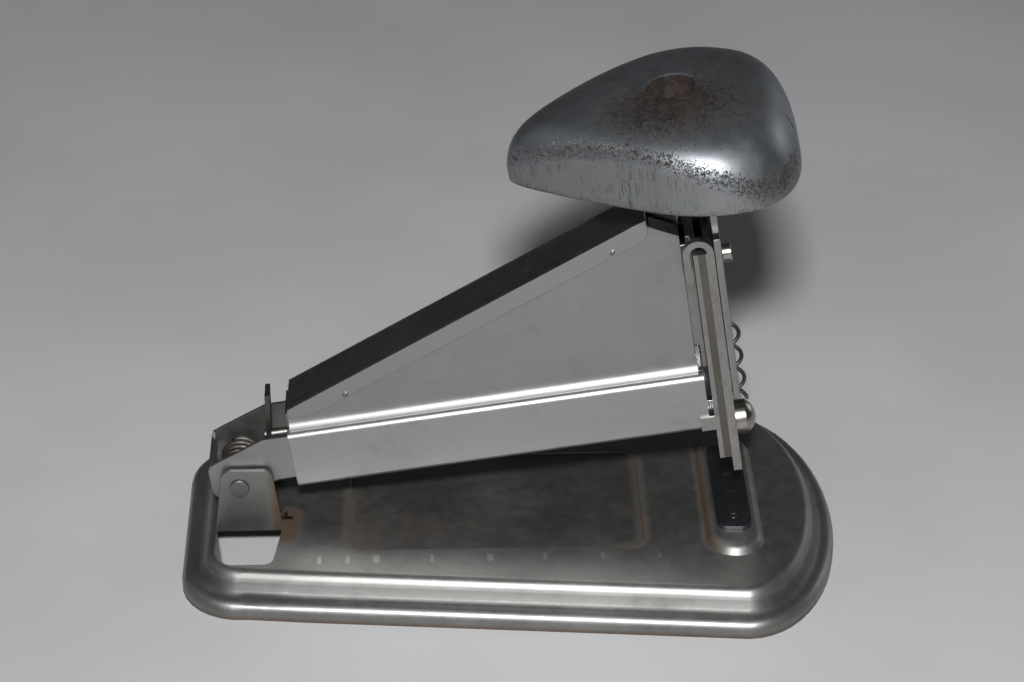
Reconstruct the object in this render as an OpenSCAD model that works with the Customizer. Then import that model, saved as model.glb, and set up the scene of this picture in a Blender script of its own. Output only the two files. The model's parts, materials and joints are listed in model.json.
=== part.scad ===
// Desk stapler with a pressed steel base, a wedge-shaped magazine arm and a palm plunger.
// Frame: X runs from the rear (hinge end) to the nose, Z is up, and the origin is under the
// middle of the base. The arm's own frame has its origin on the hinge axis, U along the
// magazine and W square to it, and it is tipped nose-up by arm_tilt at rest.

/* [Base] */
// Length of the base
base_l = 150; // [140:1:165]
// Half width of the base at its rear end
base_rear_half = 31.3; // [28:0.1:34]
// Widening of the base, per side and per millimetre of length
base_flare = 0.091; // [0.06:0.001:0.11]
// Length of the rounded nose end of the base
base_nose_l = 23.2; // [20:0.1:28]
// Radius of the rear corners of the base
base_corner_r = 14; // [10:0.5:18]
// Height of the raised table of the base
table_z = 9; // [8.5:0.1:10]
// Thickness of the base sheet
sheet_t = 1; // [0.8:0.1:1.1]

/* [Hinge] */
// Distance of the hinge axis from the rear end of the base
hinge_from_rear = 13.4; // [13:0.1:14]
// Height of the hinge axis above the ground
hinge_z = 20; // [19.5:0.1:21]
// Radius of the hinge pin
hinge_pin_r = 1.6; // [1.4:0.05:1.8]
// Tilt of the arm at rest, nose up, in degrees
arm_tilt = 8.5; // [8:0.1:9]

/* [Magazine arm] */
// Outer width of the magazine channel
channel_w = 16.2; // [15.8:0.1:16.2]
// Distance from the hinge axis to the front end of the magazine
channel_front = 107.5; // [107:0.1:107.5]
// Outer width of the wedge housing above the magazine
housing_w = 11.8; // [11.4:0.1:12]
// Slope of the housing's top against the magazine, in degrees
cover_slope = 22.5; // [22:0.1:22.5]
// Width of the nose plates
nose_w = 17.4; // [17:0.1:17.8]

/* [Plunger] */
// Travel of the plunger
stroke = 14; // [10:0.5:14]
// Length of the palm head
head_l = 63; // [58:0.2:66]
// Greatest width of the palm head
head_w = 55.4; // [48:0.2:58]
// Height of the palm head from its rim to its crest
head_h = 17.6; // [16:0.1:19]
// Greatest height of the palm head's upright side band
head_band_h = 11.7; // [9:0.1:12.5]

/* [Hidden] */

eps = 0.01;
rear_x = -base_l / 2;
hinge_x = rear_x + hinge_from_rear;

// Base: how far each level of the pressed form is set in, and how high it lies
rim_z = 4.2;
rim_inset = 2.4;
wall_inset = 4.2;
table_inset = 7.8;
// Recessed writing panel in the table
panel_x0 = rear_x + 38;
panel_l = 67;
panel_half = 19;
panel_r = 4;
panel_depth = 0.6;
// Raised pad that carries the anvil, pressed up out of the table
pad_x = rear_x + 125.7;
pad_r = 6.65;
pad_half = 24;
pad_h = 1.9;
pad_top = table_z + pad_h;
// The pad's section as [inset, height above the table], over the sheet and then under it
pad_over = [[-0.6, -0.25], [0.1, -0.02], [0.35, 0.25], [0.8, 0.95], [1.25, 1.4], [1.8, 1.72], [2.5, 1.87],
    [3.2, pad_h]];
pad_under = [[3.6, pad_h - sheet_t], [2.9, 0.88], [2.2, 0.74], [1.65, 0.45], [1.2, 0], [0.75, -0.65],
    [-0.6, -0.75]];
// How far the pad's sheet overlaps the hole in the table's sheet
pad_lap = 0.45;
// The anvil on the pad
anvil_t = 0.9;
anvil_l = 33;
anvil_w = 8;
anvil_corner_r = 2.6;
anvil_rivet_y = 12.2;
anvil_rivet_r = 0.9;
// Ears lanced out of the table
ear_in = 8.4;
ear_out = ear_in + sheet_t;
ear_foot_half = 7.6;
ear_top_half = 5.9;
ear_top_z = 24.4;
ear_x = rear_x + 15.2;
ear_corner_r = 2.4;
window_l = ear_top_z - table_z - 0.9;
// Slot for the leg of the hinge spring
leg_slot_x = rear_x + 22.8;
leg_slot_y = -5.2;
leg_slot_l = 5.8;
leg_slot_w = 2.6;
leg_slot_rear = leg_slot_x - 3.6;
// Stop under the tail of the arm
stop_x = hinge_x - 4.5;
stop_half = 7.6;
stop_top = hinge_z - 4.1;
stop_t = 1.2;
stop_foot_t = 1;
stop_rivet_x = stop_x + 3;
stop_rivet_y = 3.4;
stop_rivet_r = 0.8;

// Magazine channel
channel_half = channel_w / 2;
channel_wall = 0.9;
channel_bottom = -3.35;
channel_top = 11.3;
channel_rear = 13;
channel_r = 1.6;
ledge_in = 5.6;
tail_half = 7.6;
pin_clear = 0.05;
// Housing
housing_half = housing_w / 2;
housing_t = 0.8;
housing_rear = 13.7;
housing_front = 106.3;
peak_u = 100.1;
peak_w = 50.1;
brow_w = 46.8;
foot_h = 3.3;
// Cover
cover_t = 0.6;
cover_front = 99.5;
cover_w0 = 16.9;
flange_d = 4;
flange_r = 3.4;
// Nose plates, from the rear to the front
guide_u = 108.7;
guide_t = 1;
rail_u = guide_u + guide_t;
rail_t = 1.6;
front_u = rail_u + rail_t + 0.1;
front_t = 1.9;
plunger_u = front_u + front_t + 0.15;
plunger_t = 1.6;
nose_half = nose_w / 2;
guide_top = 43;
guide_bottom = -10.8;
front_bottom = -14.7;
raceway_half = 6.6;
lug_in = 6.9;
lug_t = 1.5;
hook_u = 106.5;
hook_low = 36.1;
rivet_w = [-7, 33];
rivet_y = 7.65;
rivet_r = 0.8;
// Staples and follower
rail_half = 5.8;
rail_top = 3;
strip_half = 6.5;
strip_wire = 0.5;
strip_rear = 58;
floor_w = channel_bottom + channel_wall;
follower_l = 8;
rod_w = 7.2;
rod_r = 1.2;
tab_u = 7.4;
tab_t = 1.1;
// Return spring and its seats
coil_u = plunger_u + plunger_t / 2;
coil_r = 2.4;
coil_wire_r = 0.45;
seat_low = -2;
seat_high = 20;
stud_w = -6.1;
stud_r = 4;
stub_w = 37.6;
stub_r = 1.5;
plunger_low = 4.5;
plunger_shoulder = 46.2;
neck_half = 6;
saddle_w = peak_w + stroke + 0.7;
saddle_rear = 100.8;
blade_low = 4.6;
blade_top = 41;
// Head: its pose on the arm, and the powers that round its outline and its dome
head_u = 115.2;
head_w0 = 63;
head_pitch = -0.6;
head_yaw = -1.2;
head_roll = 0.7;
head_mid = -12;
head_crest = -6.05;
head_end_power = 1.84;
head_side_power = 3.16;
head_dome_power = 3.3;
head_crease = 12;
head_flare = 0.63;
head_tip_lift = 1.4;
head_wall = 2.2;
head_count = 56;
screw_u = 109;
boss_r = 6.4;
bore_r = 5;
bore_floor = 70;
screw_r = 2.4;

function cover_top(u) = cover_w0 + tan(cover_slope) * (u - channel_rear - 1.2);
function arc(cx, cy, r, a0, a1, n) =
    [for (i = [0:n]) [cx + r * cos(a0 + (a1 - a0) * i / n), cy + r * sin(a0 + (a1 - a0) * i / n)]];
function unit(v) = v / norm(v);

// Triangles between successive rings of a swept or lofted surface
function skin(rings, count) =
    [for (i = [0:rings - 2]) for (k = [0:count - 1]) for (half = [0, 1])
        let (a = i * count + k, b = i * count + (k + 1) % count)
            half == 0 ? [a, b, b + count] : [a, b + count, a + count]];

// Places children given in the arm's frame
module at_arm() {
    translate([hinge_x, 0, hinge_z])
        rotate([0, -arm_tilt, 0])
            children();
}

// Extrudes an outline drawn in U and W over a span of Y
module slab(y0, y1) {
    translate([0, y1, 0])
        rotate([90, 0, 0])
            linear_extrude(y1 - y0)
                children();
}

// A plain block between two corners
module block(a, b) {
    translate(a)
        cube(b - a);
}

// A cylinder along U
module bar_u(u0, u1, y, w, r) {
    translate([u0, y, w])
        rotate([0, 90, 0])
            cylinder(r = r, h = u1 - u0, $fn = 48);
}

// A cylinder along Y
module bar_y(y0, y1, u, w, r) {
    translate([u, y1, w])
        rotate([90, 0, 0])
            cylinder(r = r, h = y1 - y0, $fn = 48);
}

// A round wire swept along a path; spin is the axis that the wire coils around
module wire(path, r, spin, sides = 8) {
    n = len(path);
    function along(i) = unit(path[min(i + 1, n - 1)] - path[max(i - 1, 0)]);
    function side(i) = unit(cross(along(i), spin));
    ring = [for (i = [0:n - 1]) for (k = [0:sides - 1])
        path[i] + r * (cos(360 * k / sides) * side(i)
            + sin(360 * k / sides) * cross(side(i), along(i)))];
    caps = [[for (k = [sides - 1:-1:0]) k], [for (k = [0:sides - 1]) (n - 1) * sides + k]];
    polyhedron(points = ring, faces = concat(skin(n, sides), caps));
}

// Points of the base's outline with their outward normals, clockwise from above
widest_x = base_l - base_nose_l;
widest_half = base_rear_half + base_flare * widest_x;
side_angle = 270 + atan(base_flare);
corner_y = base_rear_half + base_corner_r * (base_flare - norm([1, base_flare]));
near_edge = concat(
    [for (i = [0:8])
        let (a = 180 + (side_angle - 180) * i / 8)
            [[base_corner_r * (1 + cos(a)), base_corner_r * sin(a) - corner_y], [cos(a), sin(a)]]],
    [for (i = [1:7])
        let (x = base_corner_r + (widest_x - base_corner_r) * i / 8)
            [[x, -base_rear_half - base_flare * x], [cos(side_angle), sin(side_angle)]]],
    [for (i = [0:14])
        let (a = 90 * i / 14)
            [[widest_x + base_nose_l * sin(a), -widest_half * cos(a)],
                unit([sin(a) / base_nose_l, -cos(a) / widest_half])]]
);
far_edge = [for (p = near_edge) [[p[0][0], -p[0][1]], [p[1][0], -p[1][1]]]];
base_edge = concat(far_edge, [for (i = [len(near_edge) - 2:-1:0]) near_edge[i]]);

// The pressed section as [inset, height], from the outer foot up to the table
form_out = concat(
    [[0, 0], [0, 1.9]],
    arc(rim_inset, 1.8, rim_inset, 170, 90, 4),
    [[rim_inset + 0.9, rim_z + 0.2], [wall_inset, rim_z + 0.9], [wall_inset + 1.1, table_z - 1.7]],
    arc(table_inset, table_z - 2.4, 2.4, 150, 90, 4)
);
form_in = [for (i = [len(form_out) - 1:-1:0])
    [form_out[i][0] + sheet_t, max(form_out[i][1] - sheet_t, 0)]];

// The pressed sheet: outer skin with the table's top, inner skin with its underside
module base_form() {
    count = len(base_edge);
    outer = len(form_out);
    form = concat(form_out, form_in, [form_out[0]]);
    rings = [for (i = [0:2 * outer - 1]) for (p = base_edge)
        [rear_x + p[0][0] - form[i][0] * p[1][0], p[0][1] - form[i][0] * p[1][1], form[i][1]]];
    foot = [for (f = skin(2, count)) [for (v = f) v < count ? v + (2 * outer - 1) * count : v - count]];
    inner = [for (f = skin(outer, count)) [for (v = f) v + outer * count]];
    caps = [[for (k = [0:count - 1]) (outer - 1) * count + k], [for (k = [count - 1:-1:0]) outer * count + k]];
    polyhedron(points = rings, faces = concat(skin(outer, count), inner, foot, caps));
}

module rounded_panel(grow) {
    x0 = panel_x0 - grow;
    x1 = panel_x0 + panel_l + grow;
    half = panel_half + grow;
    r = panel_r + grow;
    for (x = [x0 + r, x1 - r]) {
        for (y = [r - half, half - r]) {
            translate([x, y])
                circle(r = r, $fn = 32);
        }
    }
    translate([x0, r - half])
        square([x1 - x0, 2 * (half - r)]);
    translate([x0 + r, -half])
        square([x1 - x0 - 2 * r, 2 * half]);
}

// Ring of points round a stadium with its straight sides along Y
function stadium_ring(r, half, n) = concat(
    [for (i = [0:n]) [r * cos(180 * i / n), half - r + r * sin(180 * i / n)]],
    [for (i = [0:n]) [-r * cos(180 * i / n), r - half - r * sin(180 * i / n)]]);

// The raised pad as a shell one sheet thick
module pad_form() {
    form = concat(pad_under, pad_over);
    n = 12;
    count = 2 * n + 2;
    rings = [for (f = form) for (p = stadium_ring(pad_r - f[0], pad_half - f[0], n))
        [pad_x + p[0], p[1], table_z + f[1]]];
    sides = [for (f = skin(len(form), count)) [f[0], f[2], f[1]]];
    low = [[for (k = [0:count - 1]) k]];
    high = [[for (k = [count - 1:-1:0]) (len(form) - 1) * count + k]];
    polyhedron(points = rings, faces = concat(sides, low, high));
}

module stadium(r, half) {
    translate([-r, r - half])
        square([2 * r, 2 * (half - r)]);
    for (y = [r - half, half - r]) {
        translate([0, y])
            circle(r = r, $fn = 48);
    }
}

module rounded_bar(half_x, half_y, r) {
    square([2 * half_x, 2 * (half_y - r)], center = true);
    square([2 * (half_x - r), 2 * half_y], center = true);
    for (x = [r - half_x, half_x - r]) {
        for (y = [r - half_y, half_y - r]) {
            translate([x, y])
                circle(r = r, $fn = 32);
        }
    }
}

// Outline of an ear, or of the window that it was cut from: wide foot, rounded top corners
module ear_outline(length, grow = 0) {
    foot = ear_foot_half + grow;
    top = ear_top_half + grow;
    r = ear_corner_r;
    right = concat([[foot, 0]], arc(top - r, length - r, r, 10, 90, 5));
    left = [for (i = [len(right) - 1:-1:0]) [-right[i][0], right[i][1]]];
    polygon(concat(right, left));
}

module base_plate() {
    color([0.50, 0.50, 0.51])
    difference() {
        union() {
            difference() {
                base_form();
                // recessed panel
                translate([0, 0, table_z - panel_depth])
                    linear_extrude(2)
                        rounded_panel(0);
                translate([pad_x, 0, table_z - 2 * sheet_t])
                    linear_extrude(3 * sheet_t)
                        stadium(pad_r - pad_lap, pad_half - pad_lap);
            }
            translate([0, 0, table_z - panel_depth - sheet_t])
                linear_extrude(sheet_t)
                    rounded_panel(0.5);
            pad_form();
            for (side = [-1, 1]) {
                translate([ear_x, side * (ear_in + ear_out) / 2 + sheet_t / 2, table_z - sheet_t / 2])
                    rotate([90, 0, 0])
                        linear_extrude(sheet_t)
                            ear_outline(ear_top_z - table_z + sheet_t / 2);
            }
        }
        for (side = [-1, 1]) {
            // holes for the rivets of the anvil
            translate([pad_x, side * anvil_rivet_y, 0])
                cylinder(r = anvil_rivet_r, h = 14, $fn = 32);
            // window that the ear was cut from
            translate([ear_x, side * ear_out, table_z - 3])
                rotate([0, 0, side > 0 ? 0 : 180])
                    linear_extrude(6)
                        ear_outline(window_l);
            // holes for the rivets of the stop
            translate([stop_rivet_x, side * stop_rivet_y, 0])
                cylinder(r = stop_rivet_r, h = 12, $fn = 32);
        }
        bar_y(-20, 20, hinge_x, hinge_z, hinge_pin_r + 0.01);
        translate([leg_slot_rear, leg_slot_y - leg_slot_w / 2, 4])
            cube([leg_slot_l, leg_slot_w, 8]);
    }
}

module anvil_plate() {
    pocket_r = 4.6;
    color([0.30, 0.29, 0.28])
    difference() {
        translate([pad_x, 0, pad_top])
            linear_extrude(anvil_t)
                rounded_bar(anvil_w / 2, anvil_l / 2, anvil_corner_r);
        // two curved pockets that turn the staple's legs inwards
        for (side = [-1, 1]) {
            bar_u(pad_x - 1.1, pad_x + 1.1, side * 3.3, pad_top + anvil_t + pocket_r - 0.5, pocket_r);
            translate([pad_x, side * anvil_rivet_y, 0])
                cylinder(r = anvil_rivet_r, h = 14, $fn = 32);
        }
    }
}

module anvil_rivets() {
    color([0.45, 0.43, 0.40])
    for (side = [-1, 1]) {
        translate([pad_x, side * anvil_rivet_y, pad_top - sheet_t - 0.5])
            cylinder(r = anvil_rivet_r + 0.8, h = 0.5, $fn = 32);
        translate([pad_x, side * anvil_rivet_y, pad_top - sheet_t])
            cylinder(r = anvil_rivet_r, h = sheet_t + anvil_t, $fn = 32);
    }
}

module hinge_pin() {
    color([0.58, 0.58, 0.59])
    union() {
        bar_y(-ear_out - 0.4, ear_out + 0.4, hinge_x, hinge_z, hinge_pin_r);
        for (y = [-ear_out - 0.7, ear_out]) {
            bar_y(y, y + 0.7, hinge_x, hinge_z, hinge_pin_r + 0.6);
        }
    }
}

// A folded bracket that the tail of the arm rests on
module arm_stop() {
    rear = stop_x - stop_t / 2;
    color([0.40, 0.30, 0.24])
    difference() {
        union() {
            block([rear, -stop_half, table_z], [rear + stop_t, stop_half, stop_top]);
            block([rear, -stop_half, table_z], [rear + 6, stop_half, table_z + stop_foot_t]);
        }
        for (side = [-1, 1]) {
            translate([stop_rivet_x, side * stop_rivet_y, 0])
                cylinder(r = stop_rivet_r, h = 12, $fn = 32);
        }
    }
}

module stop_rivets() {
    head_t = 0.5;
    color([0.45, 0.42, 0.38])
    for (side = [-1, 1]) {
        translate([stop_rivet_x, side * stop_rivet_y, table_z - sheet_t])
            cylinder(r = stop_rivet_r, h = sheet_t + stop_foot_t, $fn = 32);
        for (z = [table_z + stop_foot_t, table_z - sheet_t - head_t]) {
            translate([stop_rivet_x, side * stop_rivet_y, z])
                cylinder(r = stop_rivet_r + 0.6, h = head_t, $fn = 32);
        }
    }
}

// Cross-section of the channel, with Y across and W up
module channel_section() {
    difference() {
        union() {
            for (side = [-1, 1]) {
                translate([side * (channel_half - channel_r), channel_bottom + channel_r])
                    circle(r = channel_r, $fn = 32);
                translate([side * (channel_half - channel_r), channel_top - channel_r])
                    circle(r = channel_r, $fn = 32);
            }
            translate([-channel_half, channel_bottom + channel_r])
                square([channel_w, channel_top - channel_bottom - 2 * channel_r]);
            translate([channel_r - channel_half, channel_bottom])
                square([channel_w - 2 * channel_r, channel_top - channel_bottom]);
        }
        translate([channel_wall - channel_half, floor_w])
            square([channel_w - 2 * channel_wall, channel_top - channel_wall - floor_w]);
        translate([-ledge_in, 0])
            square([2 * ledge_in, 20]);
    }
}

// Outline of the tail plates that carry the hinge
module tail_outline() {
    polygon([[channel_rear + 1, channel_top - 0.6], [7.3, 10.6], [-3.2, 6.5], [-5.8, 5.4],
        [-6.4, 4.2], [-6.4, -1.6], [-5.6, -3], [-4, -3.6], [3, -3.6], [6.5, -1.2],
        [9, -0.4], [channel_rear + 1, -0.4]]);
}

module magazine_channel() {
    color([0.56, 0.56, 0.57])
    at_arm()
    difference() {
        union() {
            translate([channel_rear, 0, 0])
                rotate([90, 0, 90])
                    linear_extrude(channel_front - channel_rear)
                        channel_section();
            for (y = [-tail_half, tail_half - channel_wall]) {
                slab(y, y + channel_wall)
                    tail_outline();
            }
            // web that ties the tail plates together at the very end
            block([-6.4, -tail_half, 1.6], [-5.5, tail_half, 4.4]);
        }
        bar_y(-20, 20, 0, 0, hinge_pin_r + pin_clear);
    }
}

module staple_rail() {
    color([0.52, 0.52, 0.53])
    at_arm()
    difference() {
        block([15, -rail_half, floor_w], [guide_u, rail_half, rail_top]);
        block([14, 0.8 - rail_half, floor_w - 1], [guide_u + 1, rail_half - 0.8, rail_top - 0.8]);
    }
}

module staple_strip() {
    color([0.66, 0.66, 0.67])
    at_arm()
    difference() {
        block([strip_rear, -strip_half, floor_w + 0.1], [rail_u - 0.1, strip_half, rail_top + 0.15 + strip_wire]);
        block([strip_rear - 1, strip_wire - strip_half, floor_w - 1],
            [rail_u + 1, strip_half - strip_wire, rail_top + 0.15]);
    }
}

// Side of the wedge housing; side is -1 for the near one and 1 for the far one
module housing_side(side) {
    inner = housing_half - housing_t;
    rear_w = cover_top(housing_rear) - 0.8;
    outline = [[housing_rear, channel_top], [housing_front, channel_top], [housing_front, brow_w],
        [peak_u, peak_w], [peak_u - 1.2, cover_top(peak_u - 1.2) - 0.8], [housing_rear, rear_w]];
    brow_drop = housing_t / cos(atan2(peak_w - brow_w, housing_front - peak_u));
    color([0.57, 0.57, 0.58])
    at_arm()
    mirror([0, side < 0 ? 1 : 0, 0]) {
        slab(inner, housing_half)
            polygon(outline);
        // coved foot that is welded to the magazine
        translate([housing_rear, 0, 0])
            rotate([90, 0, 90])
                linear_extrude(channel_front - 1 - housing_rear)
                    polygon([[inner, channel_top], [channel_half - 0.5, channel_top],
                        [channel_half - 0.5, channel_top + 0.5], [housing_half + 0.7, channel_top + 1.2],
                        [housing_half + 0.25, channel_top + 2.1], [housing_half, channel_top + foot_h],
                        [inner, channel_top + foot_h]]);
        // brow: the sheet is folded inwards over the front of the wedge
        slab(1, inner + 0.2)
            polygon([[peak_u, peak_w], [housing_front, brow_w], [housing_front, brow_w - brow_drop],
                [peak_u, peak_w - brow_drop]]);
    }
}

module housing_near() {
    housing_side(-1);
}

module housing_far() {
    housing_side(1);
}

module top_cover() {
    half = housing_half + cover_t;
    u0 = channel_rear + 1;
    drop = cover_t / cos(cover_slope);
    low = flange_d / cos(cover_slope);
    foot_top = channel_top + foot_h + 0.05;
    foot_u = channel_rear + 1.2 + (foot_top + low - cover_w0) / tan(cover_slope);
    color([0.30, 0.30, 0.31])
    at_arm()
    union() {
        slab(-half, half)
            polygon([[u0, cover_top(u0)], [cover_front, cover_top(cover_front)],
                [cover_front + 0.3, cover_top(cover_front) - drop], [u0, cover_top(u0) - drop]]);
        for (y = [-half, housing_half]) {
            slab(y, y + cover_t)
                polygon(concat([[u0, cover_top(u0)], [u0, foot_top], [foot_u, foot_top]],
                    arc(cover_front + 0.3 - flange_r, cover_top(cover_front - flange_r) - low + flange_r,
                        flange_r, 270 + cover_slope, 360, 6),
                    [[cover_front, cover_top(cover_front)]]));
        }
    }
}

module rear_plate() {
    half = tail_half - channel_wall;
    upper = housing_half - housing_t;
    color([0.45, 0.45, 0.46])
    at_arm()
    difference() {
        union() {
            block([channel_rear + 0.1, -half, floor_w], [channel_rear + 0.9, half, channel_top - channel_wall]);
            block([channel_rear + 0.1, -upper, 0], [channel_rear + 0.9, upper, 15]);
        }
        bar_u(channel_rear - 1, channel_rear + 2, 0, rod_w, rod_r + 0.05);
    }
}

// U-shaped bracket between the housing and the nose plates
module nose_bracket() {
    inner = housing_half - housing_t;
    color([0.50, 0.50, 0.50])
    at_arm()
    union() {
        block([guide_u - 1.2, -inner, channel_top + 0.5], [guide_u, inner, guide_top + 3]);
        for (y = [-inner, inner - 0.9]) {
            block([98, y, 18], [guide_u - 1, y + 0.9, 44]);
        }
    }
}

module nose_rivet_bores(r) {
    for (side = [-1, 1]) {
        for (w = rivet_w) {
            bar_u(guide_u - 1, front_u + front_t + 1, side * rivet_y, w, r);
        }
    }
}

module rear_guide() {
    color([0.60, 0.60, 0.60])
    at_arm()
    difference() {
        union() {
            block([guide_u, -nose_half, guide_bottom], [guide_u + guide_t, nose_half, guide_top]);
            // side tabs that grip the front of the magazine
            for (y = [-nose_half, channel_half]) {
                block([105.5, y, -2.9], [guide_u + eps, y + nose_half - channel_half, 0.5]);
            }
        }
        block([guide_u - 1, -7, floor_w - 0.05], [guide_u + 2, 7, 4.5]);
        nose_rivet_bores(rivet_r + 0.01);
    }
}

module guide_rails() {
    color([0.42, 0.37, 0.32])
    at_arm()
    difference() {
        for (side = [-1, 1]) {
            mirror([0, side < 0 ? 1 : 0, 0])
                block([rail_u, raceway_half, guide_bottom], [front_u, nose_half, guide_top]);
        }
        nose_rivet_bores(rivet_r + 0.01);
    }
}

// Front plate: its two top lugs hook back over the rear guide
module front_plate() {
    hook_r = (front_u + front_t - hook_u) / 2;
    hook_cu = hook_u + hook_r;
    color([0.62, 0.62, 0.62])
    at_arm()
    difference() {
        union() {
            block([front_u, -nose_half, front_bottom], [front_u + front_t, nose_half, guide_top]);
            for (y = [-nose_half, lug_in]) {
                difference() {
                    union() {
                        bar_y(y, y + nose_half - lug_in, hook_cu, guide_top, hook_r);
                        block([hook_u, y, hook_low], [front_u, y + nose_half - lug_in, guide_top]);
                    }
                    bar_y(y - 1, y + 3, hook_cu, guide_top, hook_r - lug_t);
                    block([hook_u + lug_t, y - 1, hook_low - 1], [front_u, y + 3, guide_top]);
                }
            }
        }
        // window for the return spring, and the slot above it for the driver's rivet
        block([front_u - 1, -3.05, seat_low], [front_u + 4, 3.05, seat_high + 0.5]);
        block([front_u - 1, -1.65, stub_w - stroke - 1.8], [front_u + 4, 1.65, stub_w + 1.8]);
        nose_rivet_bores(rivet_r + 0.01);
        bar_u(front_u - 1, front_u + 4, 0, stud_w, 2.01);
    }
}

module nose_rivets() {
    color([0.50, 0.48, 0.45])
    at_arm()
    for (side = [-1, 1]) {
        for (w = rivet_w) {
            bar_u(guide_u, front_u + front_t, side * rivet_y, w, rivet_r);
        }
    }
}

// Domed stud under the return spring
module spring_stud() {
    dome_r = 4.6;
    rise = 4.8;
    brim = asin(stud_r / dome_r);
    color([0.66, 0.64, 0.60])
    at_arm()
    translate([front_u, 0, stud_w])
        rotate([0, 90, 0])
            rotate_extrude($fn = 64)
                polygon(concat([[0, 0], [2, 0], [2, front_t], [stud_r, front_t]],
                    [for (i = [0:6])
                        let (a = brim * (1 - i / 6))
                            [dome_r * sin(a), front_t + rise - dome_r * (1 - cos(a))]]));
}

// Torsion spring on the hinge pin, with one leg down into the slot of the base
module hinge_spring() {
    turns = 5;
    step = 22.5;
    r = 4.2;
    wire_r = 0.6;
    start = -70;
    coil_half = 4.6;
    coil = [for (i = [0:turns * 360 / step + 8])
        let (a = start + i * step)
            [r * cos(a), -coil_half + 2 * coil_half * i * step / (turns * 360 + 180), r * sin(a)]];
    down_leg = [[8.4, leg_slot_y + 0.4, -12.1], [6.2, leg_slot_y + 0.5, -7.6]];
    color([0.42, 0.30, 0.22])
    at_arm()
        wire(concat(down_leg, coil), wire_r, [0, 1, 0]);
}

module plunger_plate() {
    leg_slot = 4.6;
    u1 = plunger_u + plunger_t;
    color([0.55, 0.55, 0.56])
    at_arm()
    difference() {
        union() {
            block([plunger_u, -nose_half, plunger_low], [u1, nose_half, plunger_shoulder]);
            block([plunger_u, -neck_half, plunger_low], [u1, neck_half, saddle_w + plunger_t]);
            // saddle folded back under the head
            block([saddle_rear, -neck_half, saddle_w], [u1, neck_half, saddle_w + plunger_t]);
        }
        block([plunger_u - 1, -leg_slot, plunger_low - 1], [u1 + 1, leg_slot, seat_high]);
        bar_u(plunger_u - 1, u1 + 1, 0, stub_w, stub_r + 0.01);
        translate([screw_u, 0, saddle_w - 1])
            cylinder(r = screw_r + 0.01, h = 5, $fn = 48);
    }
}

module driver_blade() {
    color([0.50, 0.48, 0.46])
    at_arm()
    difference() {
        block([rail_u + 0.15, 0.1 - raceway_half, blade_low], [front_u - 0.15, raceway_half - 0.1, blade_top]);
        bar_u(rail_u - 1, front_u + 1, 0, stub_w, stub_r + 0.01);
    }
}

module driver_rivet() {
    color([0.66, 0.62, 0.52])
    at_arm()
    union() {
        bar_u(rail_u + 0.15, plunger_u + plunger_t, 0, stub_w, stub_r);
        bar_u(plunger_u + plunger_t, plunger_u + plunger_t + 2.3, 0, stub_w, stub_r + 0.6);
    }
}

// A power that keeps the sign of its base
function spow(v, p) = sign(v) * pow(abs(v), p);

// Rim of the head from above: narrow at the rear, broad at the front, drawn in by inset
function head_rim(inset) =
    let (greatest = 1.203, half_l = head_l / 2 - inset, half_w = head_w / 2 / greatest)
        [for (i = [0:head_count - 1])
            let (c = cos(360 * i / head_count), s = sin(360 * i / head_count))
                [head_mid + half_l * spow(c, 2 / head_end_power),
                    (half_w * (1 + head_flare * c) - inset) * spow(s, 2 / head_side_power)]];

// Height of the rim: level, but lifted towards the tip
function rim_at(a) = head_tip_lift * pow(max(0, -cos(a)), 2);

// Height of the side band: tall beside the crest, low at the tip and lower still at the front
function band_at(a, inset) =
    let (h = (5.04 - 5.44 * cos(a) - 6.01 * cos(2 * a)) * head_band_h / 11.7 - 1.2)
        1.2 + (h + sqrt(h * h + 2)) / 2 - inset * 0.3;

// Rings of points from the rim over the band and the dome to the crest
function head_rings(inset, steps) =
    let (rim = head_rim(inset), top = head_h - inset, last = 84,
        k0 = spow(cos(head_crease), 2 / head_dome_power), z0 = spow(sin(head_crease), 2 / head_dome_power))
        concat(
            [for (i = [0:head_count - 1])
                [rim[i][0], rim[i][1], rim_at(360 * i / head_count) - (inset > 0 ? 0.2 : 0)]],
            [for (j = [0:steps]) for (i = [0:head_count - 1])
                let (q = head_crease + (last - head_crease) * j / steps,
                    k = spow(cos(q), 2 / head_dome_power) / k0,
                    rise = (spow(sin(q), 2 / head_dome_power) - z0) / (1 - z0),
                    band = band_at(360 * i / head_count, inset))
                    [head_crest + (rim[i][0] - head_crest) * k, rim[i][1] * k, band + (top - band) * rise]]
        );

// Solid of the head in its own frame; an inset gives the hollow inside it
module head_form(inset, steps) {
    n = head_count;
    sides = [for (f = skin(steps + 2, n)) [f[0], f[2], f[1]]];
    low = concat([[0, 1, n - 1], [n / 2 - 1, n / 2, n / 2 + 1]],
        [for (k = [1:n / 2 - 2]) [k, k + 1, n - k - 1, n - k]]);
    high = [[for (k = [n - 1:-1:0]) (steps + 1) * n + k]];
    polyhedron(points = head_rings(inset, steps), faces = concat(sides, low, high));
}

module at_head() {
    translate([head_u, 0, head_w0])
        rotate([0, head_pitch, 0])
            rotate([head_roll, 0, head_yaw])
                children();
}

module palm_head() {
    color([0.60, 0.61, 0.62])
    at_arm()
    difference() {
        union() {
            difference() {
                at_head()
                    head_form(0, 9);
                at_head()
                    head_form(head_wall, 6);
            }
            intersection() {
                at_head()
                    head_form(0, 9);
                translate([screw_u, 0, saddle_w + plunger_t])
                    cylinder(r = boss_r, h = 40, $fn = 64);
            }
        }
        translate([screw_u, 0, bore_floor])
            cylinder(r = bore_r, h = 30, $fn = 64);
        translate([screw_u, 0, saddle_w])
            cylinder(r = screw_r + 0.01, h = 30, $fn = 48);
    }
}

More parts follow.
